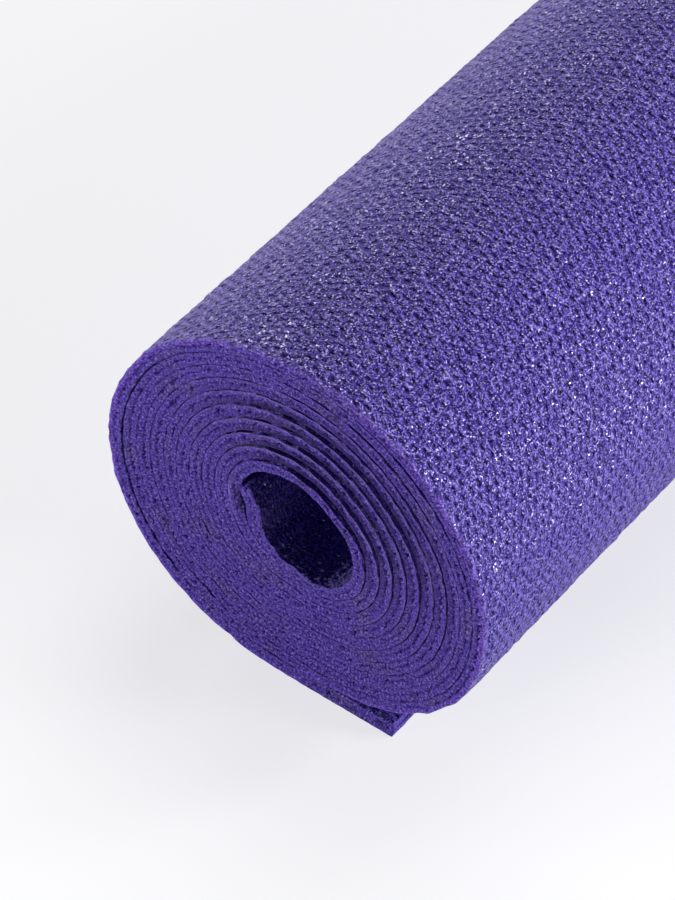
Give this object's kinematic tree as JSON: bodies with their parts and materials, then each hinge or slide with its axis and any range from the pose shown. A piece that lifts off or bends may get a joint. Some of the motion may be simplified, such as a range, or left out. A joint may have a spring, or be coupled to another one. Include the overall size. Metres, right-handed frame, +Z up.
{
  "type": "yoga mat",
  "caption": "Thin foam exercise mat with a fabric scrim inside, rolled up on its side round an open bore, its free end lying flat under the roll.",
  "frame": {"origin": "centre of the part's box, on the floor that it lies on", "axes": "+Y along the roll's axis, away from the pictured end; +X across the roll, towards the cut end of the tail; +Z up"},
  "size_m": [0.0892, 0.61, 0.0864],
  "materials": {
    "foam": "soft vinyl foam with a fine pebbled grain and a slight sheen",
    "scrim": "thin polyester mesh sunk in the foam"
  },
  "bodies": {
    "root": {"outer_foam_layer": "foam", "polyester_scrim": "scrim", "inner_foam_layer": "foam"}
  },
  "joints": []
}
